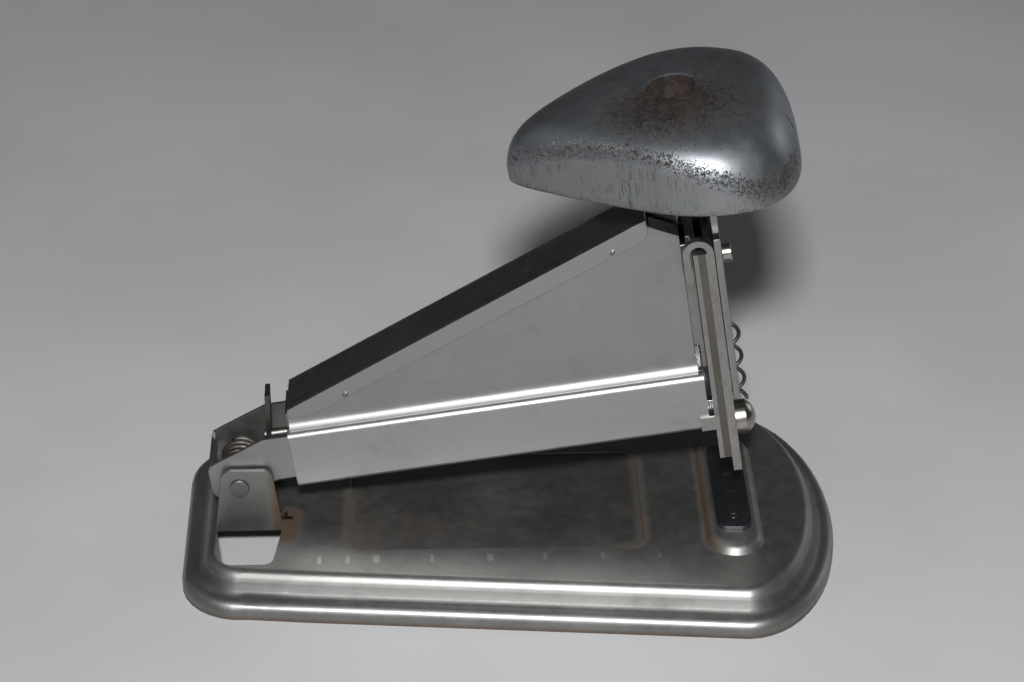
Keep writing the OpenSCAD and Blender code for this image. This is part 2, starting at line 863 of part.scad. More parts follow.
module head_screw() {
    color([0.36, 0.26, 0.20])
    at_arm()
    translate([screw_u, 0, 0])
    difference() {
        union() {
            translate([0, 0, saddle_w + 0.1])
                cylinder(r = screw_r, h = bore_floor + 1 - saddle_w, $fn = 48);
            translate([0, 0, bore_floor + 0.8])
                cylinder(r = 3.9, h = 2.2, $fn = 48);
        }
        translate([-6, -0.5, bore_floor + 2])
            cube([12, 1, 3]);
    }
}

module head_washer() {
    color([0.38, 0.30, 0.25])
    at_arm()
    translate([screw_u, 0, bore_floor])
    difference() {
        cylinder(r = 4.8, h = 0.8, $fn = 48);
        translate([0, 0, -1])
            cylinder(r = screw_r + 0.01, h = 3, $fn = 48);
    }
}

function helix(r, z0, z1, turns, per_turn) =
    [for (i = [0:turns * per_turn])
        let (a = 360 * i / per_turn)
            [r * cos(a), r * sin(a), z0 + (z1 - z0) * i / (turns * per_turn)]];

module return_spring() {
    color([0.36, 0.28, 0.22])
    at_arm()
        translate([coil_u, 0, 0])
            wire(helix(coil_r, seat_low + 0.5, seat_high - 0.5, 3.5, 20), coil_wire_r, [0, 0, 1]);
}

module follower_rod() {
    color([0.55, 0.52, 0.46])
    at_arm()
    union() {
        bar_u(tab_u - 0.6, strip_rear + 3, 0, rod_w, rod_r);
        bar_u(strip_rear + 0.1, strip_rear + 2, 0, rod_w, 2);
    }
}

module pull_tab() {
    color([0.36, 0.30, 0.24])
    at_arm()
    difference() {
        translate([tab_u, 0, rod_w])
            rotate([0, arm_tilt, 0])
                block([0, -2.6, -1.2], [tab_t, 2.6, 12]);
        bar_u(tab_u - 1, tab_u + 3, 0, rod_w, rod_r + 0.01);
    }
}

module follower_block() {
    color([0.48, 0.47, 0.46])
    at_arm()
    difference() {
        block([strip_rear - follower_l, -6.7, floor_w + 0.15], [strip_rear, 6.7, 9.8]);
        block([strip_rear - follower_l - 1, -rail_half - 0.2, floor_w - 1],
            [strip_rear + 1, rail_half + 0.2, rail_top + 0.2]);
        bar_u(strip_rear - follower_l - 1, strip_rear + 1, 0, rod_w, rod_r + 0.01);
    }
}

module follower_spring() {
    length = strip_rear - follower_l - channel_rear - 1.6;
    color([0.45, 0.42, 0.38])
    at_arm()
        translate([channel_rear + 1, 0, rod_w])
            rotate([0, 90, 0])
                wire(helix(2, 0.3, length, 11, 10), 0.3, [0, 0, 1], 5);
}

base_plate();
anvil_plate();
anvil_rivets();
hinge_pin();
arm_stop();
stop_rivets();
magazine_channel();
staple_rail();
staple_strip();
housing_near();
housing_far();
top_cover();
rear_plate();
nose_bracket();
rear_guide();
guide_rails();
front_plate();
nose_rivets();
spring_stud();
hinge_spring();
plunger_plate();
driver_blade();
driver_rivet();
palm_head();
head_screw();
head_washer();
return_spring();
follower_rod();
pull_tab();
follower_block();
follower_spring();
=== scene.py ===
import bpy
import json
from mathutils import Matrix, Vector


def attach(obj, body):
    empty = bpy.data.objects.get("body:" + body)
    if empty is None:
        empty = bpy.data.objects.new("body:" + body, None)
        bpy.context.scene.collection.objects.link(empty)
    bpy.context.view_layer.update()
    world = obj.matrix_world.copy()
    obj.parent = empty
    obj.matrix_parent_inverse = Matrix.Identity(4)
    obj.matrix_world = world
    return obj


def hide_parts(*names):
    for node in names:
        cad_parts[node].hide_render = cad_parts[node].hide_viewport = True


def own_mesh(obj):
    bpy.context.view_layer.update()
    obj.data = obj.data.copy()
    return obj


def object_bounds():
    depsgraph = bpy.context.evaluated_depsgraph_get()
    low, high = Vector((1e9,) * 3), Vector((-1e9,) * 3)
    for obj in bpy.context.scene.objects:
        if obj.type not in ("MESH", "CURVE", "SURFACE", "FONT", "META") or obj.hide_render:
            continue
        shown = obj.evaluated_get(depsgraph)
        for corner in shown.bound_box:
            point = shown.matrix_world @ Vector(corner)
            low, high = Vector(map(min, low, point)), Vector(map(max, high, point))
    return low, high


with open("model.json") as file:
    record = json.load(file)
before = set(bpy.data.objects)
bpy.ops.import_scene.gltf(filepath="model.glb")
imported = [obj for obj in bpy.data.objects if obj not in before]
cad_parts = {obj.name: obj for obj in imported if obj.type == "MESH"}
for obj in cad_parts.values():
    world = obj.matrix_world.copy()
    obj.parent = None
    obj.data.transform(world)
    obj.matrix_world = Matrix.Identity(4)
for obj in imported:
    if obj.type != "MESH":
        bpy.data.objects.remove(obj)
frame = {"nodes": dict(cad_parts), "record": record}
cad_box = [list(v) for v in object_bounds()]

import json
import math

import bmesh
import bpy
import numpy as np
from mathutils import Matrix, Vector

RECORD = frame["record"]
BODY_OF = {node: body for body, nodes in RECORD["behaviour"]["bodies"].items() for node in nodes}
JOINTS = {j["name"]: j for j in RECORD["behaviour"]["joints"]}

# All sizes below are in millimetres, and a mesh is divided by MM when it is made.
MM = 1000

# The arm's own frame: U along the magazine from the hinge axis, W square to it
HINGE_X, _, HINGE_Z = (round(MM * v, 3) for v in JOINTS["arm_hinge"]["pos_m"])
TILT = math.radians(8.5)
ARM = Matrix.Translation((HINGE_X, 0, HINGE_Z)) @ Matrix.Rotation(-TILT, 4, "Y")
ALONG, UP = (ARM.to_3x3() @ Vector(v) for v in ((1, 0, 0), (0, 0, 1)))

# The base's recessed panel and raised anvil pad: middle, half length, half width and corner radius
REAR_X = round(MM * cad_box[0][0], 3)
PANEL_X, PANEL_HALF_L, PANEL_HALF_W, PANEL_R = REAR_X + 71.5, 33.5, 19.0, 4.0
PAD_X, PAD_HALF_L, PAD_HALF_W, PAD_R = REAR_X + 125.7, 6.65, 24.0, 6.6
PANEL_FOLD_Z, RIM_WALL_Z, RIM_SHOULDER_Z = 8.2, 5.7, 3.2

# The arm's landmarks: the tail plates' end, the magazine's lower edge and top, the cover's edge and slope
TAIL_U, LOWER_EDGE_W, MAGAZINE_TOP_W = 13.0, -2.8, 11.6
COVER_EDGE_Y, COVER_FLANK_Y = 5.9, 6.02
COVER_U, COVER_W, COVER_SLOPE = 14.2, 16.9, math.radians(22.5)
DIMPLE_US, DIMPLE_DEPTH = (27.7, 91.5), 3.5


# ---------------------------------------------------------------- node expressions
class Value:
    """A node's output that can be used in a formula."""

    def __init__(self, graph, socket):
        self.graph, self.socket = graph, socket

    def __add__(self, other):
        return self.graph.math("ADD", self, other)

    def __radd__(self, other):
        return self.graph.math("ADD", other, self)

    def __sub__(self, other):
        return self.graph.math("SUBTRACT", self, other)

    def __rsub__(self, other):
        return self.graph.math("SUBTRACT", other, self)

    def __mul__(self, other):
        return self.graph.math("MULTIPLY", self, other)


class Graph:
    """One material's node tree, with coordinates in millimetres."""

    def __init__(self, name):
        self.material = bpy.data.materials.new(name)
        self.material.use_nodes = True
        self.tree = self.material.node_tree
        self.tree.nodes.clear()
        self.bsdf = self.node("BsdfPrincipled")
        self.tree.links.new(self.bsdf.outputs[0], self.node("OutputMaterial").inputs[0])
        scaled = self.node("VectorMath")
        scaled.operation = "SCALE"
        self.tree.links.new(self.node("TexCoord").outputs["Object"], scaled.inputs[0])
        scaled.inputs["Scale"].default_value = MM
        self.point = scaled.outputs[0]
        split = self.node("SeparateXYZ")
        self.tree.links.new(self.point, split.inputs[0])
        self.x, self.y, self.z = (Value(self, o) for o in split.outputs)

    def node(self, kind):
        return self.tree.nodes.new("ShaderNode" + kind)

    def plug(self, socket, value):
        """Feeds a socket from a formula, another socket or a constant."""
        if isinstance(value, Value):
            self.tree.links.new(value.socket, socket)
        elif isinstance(value, bpy.types.NodeSocket):
            self.tree.links.new(value, socket)
        else:
            socket.default_value = value

    def math(self, operation, *values, clamp=False):
        n = self.node("Math")
        n.operation, n.use_clamp = operation, clamp
        for socket, value in zip(n.inputs, values):
            self.plug(socket, value)
        return Value(self, n.outputs[0])

    def abs(self, a):
        return self.math("ABSOLUTE", a)

    def max(self, first, *others):
        for other in others:
            first = self.math("MAXIMUM", first, other)
        return first

    def min(self, a, b):
        return self.math("MINIMUM", a, b)

    def length(self, a, b):
        return self.math("SQRT", a * a + b * b)

    def clamp(self, a):
        return self.math("ADD", a, 0.0, clamp=True)

    def step(self, a, zero_at, one_at):
        """0 at one value and 1 at the other, smooth between; zero_at may be above one_at."""
        n = self.node("MapRange")
        n.interpolation_type = "SMOOTHSTEP"
        self.plug(n.inputs[0], a)
        n.inputs[1].default_value, n.inputs[2].default_value = sorted((zero_at, one_at))
        n.inputs[3].default_value, n.inputs[4].default_value = (1, 0) if zero_at > one_at else (0, 1)
        return Value(self, n.outputs[0])

    def vector(self, x, y, z):
        n = self.node("CombineXYZ")
        for socket, value in zip(n.inputs, (x, y, z)):
            self.plug(socket, value)
        return n.outputs[0]

    def noise(self, scale, detail=3.0, rough=0.6, stretch=(1, 1, 1), shift=0.0, point=None):
        """Noise from 0 to 1, with scale in cycles per millimetre."""
        place = self.node("Mapping")
        self.tree.links.new(point or self.point, place.inputs[0])
        place.inputs["Scale"].default_value = [scale * s for s in stretch]
        place.inputs["Location"].default_value = (shift, shift * 0.7, shift * 1.3)
        n = self.node("TexNoise")
        self.tree.links.new(place.outputs[0], n.inputs["Vector"])
        n.inputs["Scale"].default_value = 1.0
        n.inputs["Detail"].default_value = detail
        n.inputs["Roughness"].default_value = rough
        return Value(self, n.outputs[0])

    def attribute(self, name):
        n = self.node("Attribute")
        n.attribute_name = name
        return Value(self, n.outputs["Fac"])

    def mix(self, fac, a, b):
        """Colour mix; a and b are colours or sockets."""
        n = self.node("Mix")
        n.data_type = "RGBA"
        self.plug(n.inputs[0], fac)
        for i, colour in ((6, a), (7, b)):
            self.plug(n.inputs[i], (*colour, 1.0) if isinstance(colour, tuple) else colour)
        return n.outputs[2]

    def arm(self):
        """U and W of the arm's frame."""
        dx, dz = self.x - HINGE_X, self.z - HINGE_Z
        c, s = math.cos(TILT), math.sin(TILT)
        return dx * c + dz * s, dz * c - dx * s

    def outline(self, x, y, half_l, half_w, r):
        """Distance in plan to a rounded rectangle, below 0 inside it."""
        over_x, over_y = self.abs(self.x - x) - (half_l - r), self.abs(self.y - y) - (half_w - r)
        corner = self.length(self.max(over_x, 0.0), self.max(over_y, 0.0))
        return corner + self.min(self.max(over_x, over_y), 0.0) - r


# ---------------------------------------------------------------- worn steel
PIN_HOLE, WATER_STAIN, DEEP_RUST = (0.050, 0.034, 0.024), (0.115, 0.080, 0.055), (0.020, 0.013, 0.010)
GRAIN_BLACK, GRAIN_BROWN = (0.009, 0.008, 0.008), (0.034, 0.021, 0.015)
RED_RUST, BROWN_RUST = (0.105, 0.042, 0.020), (0.085, 0.042, 0.024)
RUST_ROUGHNESS = 0.82


class Steel(Graph):
    """Plated steel. Each layer, whether wear, painted light or painted shade, changes the colour, roughness,
    metal and height made so far.
    """

    def __init__(self, name, tone, rough, tint, mottle, brush, metal, seed):
        super().__init__(name)
        self.seed, self.metal = seed, metal
        self.tone = tuple(tone * t for t in tint)
        cloud = self.noise(0.045, 4, 0.6, shift=seed)
        self.blotch = self.noise(0.35, 5, 0.65, shift=seed + 3)
        patches = self.step(cloud * 0.6 + self.blotch * 0.4, 0.36, 0.64)
        self.colour = self.mix(patches, self.shade(1 - 2.2 * mottle), self.tone)
        self.rough = rough + (self.blotch - 0.5) * 0.16 + (cloud - 0.5) * 0.10
        self.height = self.noise(2.4, 3, 0.7, stretch=brush, shift=seed) * 0.012

    def shade(self, gain, lift=0.0):
        return tuple(min(1.0, c * gain + lift) for c in self.tone)

    def scratch(self, amount):
        """Hairline scratches in two directions."""
        for k, stretch in enumerate(((0.10, 2.6, 2.6), (1.3, 0.22, 1.9))):
            line = self.noise(1.9, 1, 0.4, stretch=stretch, shift=self.seed + 7 + 5 * k)
            where = self.noise(0.12, 2, 0.5, shift=self.seed + 11 + k)
            line = self.step(line, 0.70, 0.76) * self.step(where, 0.45, 0.62) * amount
            self.colour = self.mix(line, self.colour, self.shade(1.5))
            self.rough = self.rough - line * 0.10

    def lighten(self, mask, tone):
        """Rubbed brighter or lightened as a painted highlight, or where a tone is given painted with it,
        which on the cover's flanks is painted light.
        """
        self.colour = self.mix(mask, self.colour, tone or self.shade(1.45, 0.04))
        self.rough = self.rough + mask * (0.08 if tone else -0.08)

    def darken(self, mask):
        # Used for dirt and for painted shade alike.
        self.colour = self.mix(mask, self.colour, self.shade(0.30))
        self.rough = self.rough + mask * 0.12

    def pit(self, amount):
        """Brown pin-holes through the plating."""
        holes = self.step(self.noise(1.15, 4, 0.75, shift=self.seed + 21), 0.635, 0.68)
        holes = holes * self.step(self.noise(0.10, 3, 0.6, shift=self.seed + 31), 0.44, 0.66) * amount
        self.colour = self.mix(holes, self.colour, PIN_HOLE)
        self.metal = self.metal - holes * 0.7

    def stain(self, mask):
        mask = self.clamp(mask * (0.55 + self.blotch * 0.9))
        self.colour = self.mix(mask, self.colour, WATER_STAIN)
        self.rough = self.rough + mask * 0.14
        self.metal = self.metal * (1.0 - mask * 0.45)

    def speckle(self, mask):
        """Plating worn through in a fine black and brown grain; a full mask, as in the head's bore, makes it
        painted shade.
        """
        fine = self.noise(3.4, 3, 0.8, shift=self.seed + 61)
        coarse = self.noise(1.1, 4, 0.7, shift=self.seed + 63)
        dots = self.step(fine * 0.62 + coarse * 0.38 + (mask - 0.5) * 0.30, 0.52, 0.56)
        dots = dots * self.step(mask, 0.02, 0.2)
        hue = self.step(self.noise(0.5, 3, shift=self.seed + 65), 0.4, 0.6)
        self.colour = self.mix(dots, self.colour, self.mix(hue, GRAIN_BLACK, GRAIN_BROWN))
        self.rough = self.rough + dots * 0.3
        self.metal = self.metal * (1.0 - dots * 0.8)
        self.height = self.height - dots * 0.03

    def rust(self, mask, tone):
        ragged = self.noise(0.55, 6, 0.72, shift=self.seed + 41)
        fine = self.noise(2.6, 4, 0.7, shift=self.seed + 43)
        crust = self.step(mask + (ragged - 0.5) * 1.1 + (fine - 0.5) * 0.75, 0.50, 0.66)
        hue = self.step(self.noise(0.9, 5, 0.7, shift=self.seed + 51), 0.36, 0.62)
        self.colour = self.mix(crust, self.colour, self.mix(hue, DEEP_RUST, tone))
        self.rough = self.rough + (RUST_ROUGHNESS - self.rough) * crust
        self.metal = self.metal * (1.0 - crust * 0.92)
        self.height = self.height + crust * (fine - 0.6) * 0.05

    def close(self):
        """Connects what the layers made to the shader."""
        bump = self.node("Bump")
        bump.inputs["Strength"].default_value = 1.0
        bump.inputs["Distance"].default_value = 1 / MM
        self.plug(bump.inputs["Height"], self.height)
        self.tree.links.new(bump.outputs[0], self.bsdf.inputs["Normal"])
        self.plug(self.bsdf.inputs["Base Color"], self.colour)
        self.plug(self.bsdf.inputs["Roughness"], self.clamp(self.rough))
        self.plug(self.bsdf.inputs["Metallic"], self.clamp(self.metal))


def steel(name, tone, rough, seed, tint=(1.0, 1.0, 1.0), mottle=0.10, brush=(1, 1, 1), metal=1.0,
          scratches=0.35, specks=0.25, light=None, light_tone=None, dark=None, stain=None, speckle=None,
          rust=None, rust_tone=RED_RUST, relief=None):
    """A steel material. Functions such as light and rust take the graph and give a mask, relief a height."""
    s = Steel(name, tone, rough, tint, mottle, brush, metal, seed)
    s.scratch(scratches)
    if light:
        s.lighten(light(s), light_tone)
    if dark:
        s.darken(dark(s))
    s.pit(specks)
    if stain:
        s.stain(stain(s))
    if speckle:
        s.speckle(speckle(s))
    if rust:
        s.rust(rust(s), rust_tone)
    if relief:
        s.height = s.height + relief(s)
    s.close()
    return s.material


# ---------------------------------------------------------------- where the wear, painted highlight and painted shade lie: base
TICKS, WIDE_TICKS = [31.4, 37.8, 44.2, 56.8, 69.9, 82.3, 95.3, 108.1], (44.2, 69.9)
TICK_Y, TICK_HALF_W, WIDE_HALF, NARROW_HALF = -22.6, 1.2, 0.55, 0.25
EAR_FRONT_X, EAR_Y = REAR_X + 23.5, -9.0


def panel_edge(g):
    return g.outline(PANEL_X, 0.0, PANEL_HALF_L, PANEL_HALF_W, PANEL_R)


def pad_edge(g):
    return g.outline(PAD_X, 0.0, PAD_HALF_L, PAD_HALF_W, PAD_R)


def base_stain(g):
    ends = g.step(g.abs(g.x - PANEL_X), 22.0, 33.0)
    edge = g.step(g.abs(panel_edge(g)), 2.4, 0.2) * (ends * 0.55 + 0.12)
    pad = g.step(g.abs(pad_edge(g) + 0.6), 2.0, 0.2) * g.step(g.x, PAD_X - 2.0, PAD_X - 5.5) * 0.9
    ear = g.step(g.outline(EAR_FRONT_X, EAR_Y, 1.5, 5.0, 1.0), 3.5, 0.0)
    foot = g.step(g.z, 1.6, 0.2) * 0.8
    panel = g.step(panel_edge(g), 0.6, -0.6) * g.step(g.noise(0.05, 3, 0.6, shift=23), 0.42, 0.66) * 0.35
    return g.max(edge, pad, ear, foot, panel)


def base_rust(g):
    front = g.step(g.x, REAR_X + 92.0, REAR_X + 104.0)
    corner = g.step(g.y, -8.0, -17.0)
    edge = g.step(g.abs(panel_edge(g)), 1.5, 0.2) * front * (0.16 + corner * 0.12)
    pad = g.step(g.abs(pad_edge(g) + 0.3), 1.4, 0.2) * g.step(g.x, PAD_X - 2.0, PAD_X - 6.0) * 0.34
    foot = g.step(g.z, 1.3, 0.2) * 0.36
    return g.max(edge, pad, foot) + 0.02


def base_light(g):
    """Soft ticks along the near edge, and a painted highlight along the rim's shoulder."""
    halves = [(t, WIDE_HALF if t in WIDE_TICKS else NARROW_HALF) for t in TICKS]
    bars = [g.outline(REAR_X + t, TICK_Y, half, TICK_HALF_W, NARROW_HALF) for t, half in halves]
    ticks = g.max(*(g.step(bar, 0.45, -0.1) for bar in bars))
    worn = g.step(g.noise(0.10, 2, 0.5, shift=9), 0.30, 0.60) * 0.35 + 0.55
    # painted highlight: the rim's shoulder is lightened in patches
    shoulder_highlight = g.step(g.noise(0.3, 4, 0.7, shift=19), 0.25, 0.5) * 0.45
    return g.max(ticks * worn, g.step(g.abs(g.z - RIM_SHOULDER_Z), 0.7, 0.2) * shoulder_highlight)


def base_dark(g):
    """Grime in patches, the recessed panel darkened all over as painted shade, and painted shade on the
    rim's steep wall.
    """
    grime = g.step(g.noise(0.06, 4, 0.6, shift=17), 0.45, 0.70) * 0.22
    # painted shade: the whole recessed panel is darkened
    panel = g.step(panel_edge(g), 0.2, -1.0) * 0.34
    # painted shade: a dark band along the rim's steep wall
    wall = g.step(g.abs(g.z - RIM_WALL_Z), 1.5, 0.9) * 0.50
    return g.clamp(panel + grime + wall)


# ---------------------------------------------------------------- where the wear, painted light and painted shade lie: arm
def arm_edge_rust(g):
    u, w = g.arm()
    return g.max(g.step(g.abs(w - LOWER_EDGE_W), 1.0, 0.2) * 0.22, g.step(u, 9.0, -2.0) * 0.20)


# A painted highlight along the magazine's top shoulder.
def side_highlight(g):
    _, w = g.arm()
    return g.step(g.abs(w - MAGAZINE_TOP_W), 0.9, 0.1) * 0.45


def side_dark(g):
    """Smudges, and painted shade on the tail plates, darker towards their foot."""
    u, w = g.arm()
    smudge = g.step(g.noise(0.11, 4, 0.6, shift=61), 0.55, 0.75) * 0.14
    # painted shade: the tail plates are darkened, more towards their foot
    return smudge + g.step(u, TAIL_U + 0.3, TAIL_U) * (g.step(w, 4.0, -6.0) * 0.25 + 0.25)


def cover_flank(g):
    return g.step(g.abs(g.y), COVER_FLANK_Y, 6.3)


def cover_light(g):
    """The flanks painted lighter than the top, as painted light on one steel, and chips and marks in the
    top.
    """
    edge = g.step(g.abs(g.abs(g.y) - COVER_EDGE_Y), 0.8, 0.0)
    chips = g.step(g.noise(0.9, 5, 0.75, shift=71), 0.44, 0.56) * 0.8
    marks = g.step(g.noise(0.30, 2, 0.4, stretch=(0.5, 1.6, 1.0), shift=75), 0.64, 0.71)
    return g.max(edge * chips + marks * g.step(g.abs(g.y), 5.0, 3.0) * 0.30, cover_flank(g))


def cover_dimples(g):
    """Two small dimples in the cover's flank, a little below its sloping edge."""
    u, w = g.arm()
    depth = (u - COVER_U) * math.tan(COVER_SLOPE) + COVER_W - w
    spots = g.max(*(g.step(g.length(u - at, depth - DIMPLE_DEPTH), 0.75, 0.2) for at in DIMPLE_US))
    return spots * cover_flank(g) * 0.25


def tail_rust(g):
    u, _ = g.arm()
    return g.step(u, 15.0, 9.0) * 0.34 + g.step(u, 30.0, TAIL_U) * 0.06


def hook_rust(g):
    _, w = g.arm()
    return g.max(g.step(w, 38.5, 36.0) * 0.36, g.step(w, -11.0, -14.5) * 0.30)


def nose_stain(g):
    u, w = g.arm()
    runs = g.noise(1.1, 4, 0.7, point=g.vector(u * 1.6, g.y * 1.6, w * 0.35), shift=91)
    return g.step(runs, 0.50, 0.70) * 0.38 + g.step(w, -6.0, -12.0) * 0.25


def light_rust(amount):
    """Rust spread evenly over a small part."""
    return lambda g: g.noise(0.2, 3, 0.6, shift=81) * 0.12 + (amount - 0.06)


def strip_relief(g):
    """The joins between the staples, half a millimetre apart."""
    u, _ = g.arm()
    return g.step(g.math("FRACT", u * 2.0), 0.5, 0.9) * 0.06


# ---------------------------------------------------------------- where the wear and the painted shade in the bore lie: palm head
# HeadSkin.facts gives these attributes. ridge is the distance above the crease, below 0 on the band; rim is
# the height above the foot; hole, around, near, spot and bore place the rust, streaks, the worn side and the
# painted shade in the bore.
def along_band(g, stretch, offset):
    return g.vector(g.attribute("around"), g.attribute("ridge") * stretch, offset)


def head_rust(g):
    ridge, hole = g.attribute("ridge"), g.attribute("hole")
    patch = g.step(hole, 1.0, 0.15) * 0.47
    broken = g.step(g.noise(0.07, 2, 0.5, point=g.vector(g.attribute("around"), 0.0, 3.0)), 0.46, 0.60)
    line = g.step(g.abs(ridge - 0.7), 1.7, 0.2) * (broken * 0.31) * g.attribute("near")
    spot = g.step(g.attribute("spot"), 2.2, 0.6) * 0.60
    rim = g.step(g.attribute("rim"), 1.3, 0.2) * 0.30
    return g.max(patch, line, spot, rim) * (1.0 - g.attribute("bore"))


def head_speckle(g):
    ridge, hole = g.attribute("ridge"), g.attribute("hole")
    zone = g.step(hole, 2.3, 0.2) * 0.86
    line = g.step(g.abs(ridge - 2.2), 5.5, 0.4) * (g.attribute("near") * 0.95 - 0.32)
    band = g.step(ridge, 0.0, -0.5) * g.step(g.attribute("rim"), 3.5, 0.6) * 0.40
    # painted shade: the whole bore is covered in black grain
    return g.max(zone, line, band, g.attribute("bore") * 1.8)


def head_light(g):
    band = g.step(g.attribute("ridge"), 0.15, -0.35)
    streak = g.step(g.noise(2.2, 2, 0.5, point=along_band(g, 0.05, 0.0)), 0.46, 0.62)
    crest = g.step(g.abs(g.attribute("ridge") - 0.5), 1.6, 0.0)
    chips = g.step(g.noise(1.3, 4, 0.75, shift=29), 0.46, 0.62)
    return g.max(band * (0.50 + streak * 0.22), crest * chips * g.attribute("near") * 0.8)


def head_dark(g):
    groove = g.step(g.noise(3.4, 2, 0.6, point=along_band(g, 0.07, 7.0)), 0.52, 0.66)
    groove = groove * g.step(g.noise(0.11, 2, shift=3), 0.42, 0.60)
    band = g.step(g.attribute("ridge"), 0.1, -0.4)
    # painted shade: the bore is darkened all over
    return g.max(groove * band * 0.85, g.attribute("bore") * 1.3)


def head_relief(g):
    streak = g.noise(2.2, 2, 0.5, point=along_band(g, 0.05, 0.0))
    return streak * 0.05 * g.step(g.attribute("ridge"), 0.15, -0.35)


FINISHES = {
    "base": dict(name="base_nickel", tone=0.27, rough=0.47, tint=(1.0, 0.995, 0.965), metal=0.94,
                 brush=(0.25, 1, 1), specks=0.35, light=base_light, dark=base_dark, stain=base_stain,
                 rust=base_rust, rust_tone=BROWN_RUST),
    "anvil": dict(name="anvil_dark", tone=0.16, rough=0.42, tint=(0.93, 0.98, 1.08), specks=0.6,
                  rust=light_rust(0.26), rust_tone=(0.07, 0.035, 0.022)),
    "arm": dict(name="arm_nickel", tone=0.38, rough=0.43, tint=(1.0, 1.0, 0.985), mottle=0.04,
                brush=(0.2, 1, 1), specks=0.10, scratches=0.25, light=side_highlight, dark=side_dark,
                rust=arm_edge_rust, rust_tone=BROWN_RUST),
    "side": dict(name="side_nickel", tone=0.31, rough=0.47, tint=(1.0, 1.0, 0.98), mottle=0.05,
                 specks=0.18, scratches=0.25, dark=side_dark),
    # painted light: the cover's flanks take a lighter tone than its darker top
    "cover": dict(name="cover_steel", tone=0.22, rough=0.40, mottle=0.08, specks=0.4, light=cover_light,
                  light_tone=(0.31, 0.31, 0.303), relief=cover_dimples),
    "tail": dict(name="tail_steel", tone=0.24, rough=0.44, specks=0.4, rust=tail_rust, rust_tone=BROWN_RUST),
    "nose": dict(name="nose_nickel", tone=0.30, rough=0.36, tint=(1.0, 0.99, 0.96), mottle=0.08, specks=0.5,
                 stain=nose_stain, rust=hook_rust, rust_tone=BROWN_RUST),
    "raw": dict(name="raw_steel", tone=0.16, rough=0.55, tint=(1.0, 0.90, 0.78), specks=0.8,
                stain=nose_stain, rust=light_rust(0.30), rust_tone=BROWN_RUST),
    "bare": dict(name="bare_steel", tone=0.28, rough=0.38, tint=(1.0, 0.97, 0.92), specks=0.4,
                 rust=light_rust(0.16)),
    "dark": dict(name="dark_steel", tone=0.12, rough=0.52, tint=(1.0, 0.92, 0.84), specks=0.8,
                 rust=light_rust(0.40), rust_tone=BROWN_RUST),
    "stud": dict(name="stud_nickel", tone=0.42, rough=0.28, tint=(1.0, 0.95, 0.86), mottle=0.08, specks=0.4,
                 rust=light_rust(0.12)),
    "spring": dict(name="spring_wire", tone=0.13, rough=0.50, tint=(1.0, 0.90, 0.80), specks=0.7,
                   rust=light_rust(0.46), rust_tone=(0.10, 0.052, 0.030)),
    "wire": dict(name="staple_wire", tone=0.60, rough=0.32, specks=0.1, relief=strip_relief),
    "head": dict(name="head_nickel", tone=0.31, rough=0.44, tint=(0.92, 0.98, 1.05), mottle=0.07, metal=0.95,
                 specks=0.8, light=head_light, light_tone=(0.27, 0.27, 0.26), dark=head_dark,
                 speckle=head_speckle, rust=head_rust, rust_tone=(0.045, 0.024, 0.017), relief=head_relief),
    "screw": dict(name="screw_steel", tone=0.10, rough=0.62, specks=0.5, rust=light_rust(0.50),
                  rust_tone=(0.07, 0.038, 0.024)),
}
MATERIALS = {key: steel(seed=float(i), **finish) for i, (key, finish) in enumerate(FINISHES.items(), 1)}


# ---------------------------------------------------------------- meshes
SHARP_DEG, CRISP_DEG, HEAD_CRISP_DEG = 35, 46, 50
EDGE_SEGMENTS, FOLD_SEGMENTS, FOLD_R = 2, 5, 0.28


def add(bm, finish, node):
    """Makes the mesh the visible piece that stands for a CAD node."""
    mesh = bpy.data.meshes.new("v_" + node)
    bm.to_mesh(mesh)
    bm.free()
    mesh.materials.append(MATERIALS[finish])
    piece = bpy.data.objects.new("v_" + node, mesh)
    bpy.context.scene.collection.objects.link(piece)
    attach(piece, BODY_OF[node])
    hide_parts(node)
    return piece


def from_points(verts, faces, attributes=None):
    """A bmesh with outward normals, with a value for each point under each attribute's name."""
    mesh = bpy.data.meshes.new("draft")
    mesh.from_pydata([tuple(v / MM) for v in verts], [], faces)
    for key, values in (attributes or {}).items():
        mesh.attributes.new(key, "FLOAT", "POINT").data.foreach_set("value", values)
    bm = bmesh.new()
    bm.from_mesh(mesh)
    bpy.data.meshes.remove(mesh)
    bmesh.ops.recalc_face_normals(bm, faces=bm.faces)
    return bm


def shade(bm, crisp_deg):
    """Smooth shading, with the sharper edges kept crisp."""
    for f in bm.faces:
        f.smooth = True
    for e in bm.edges:
        e.smooth = len(e.link_faces) != 2 or e.calc_face_angle(0) < math.radians(crisp_deg)


def sharp_edges(bm):
    return [e for e in bm.edges if len(e.link_faces) == 2 and e.calc_face_angle(0) > math.radians(SHARP_DEG)]


def round_off(bm, edges, width, segments):
    if edges:
        bmesh.ops.bevel(bm, geom=edges, offset=width / MM, segments=segments, profile=0.5, affect="EDGES",
                        clamp_overlap=True)
    bm.normal_update()


def panel_fold(e):
    """True for a level edge that the press folded round the recessed panel."""
    a, b = (v.co * MM for v in e.verts)
    p = (a + b) / 2
    dx = max(0.0, abs(p.x - PANEL_X) - (PANEL_HALF_L - PANEL_R))
    dy = max(0.0, abs(p.y) - (PANEL_HALF_W - PANEL_R))
    on_panel = abs(math.hypot(dx, dy) - PANEL_R) < 0.8 and (dx > 0 or dy > 0)
    return abs(a.z - b.z) <= 0.5 and on_panel and p.z > PANEL_FOLD_Z


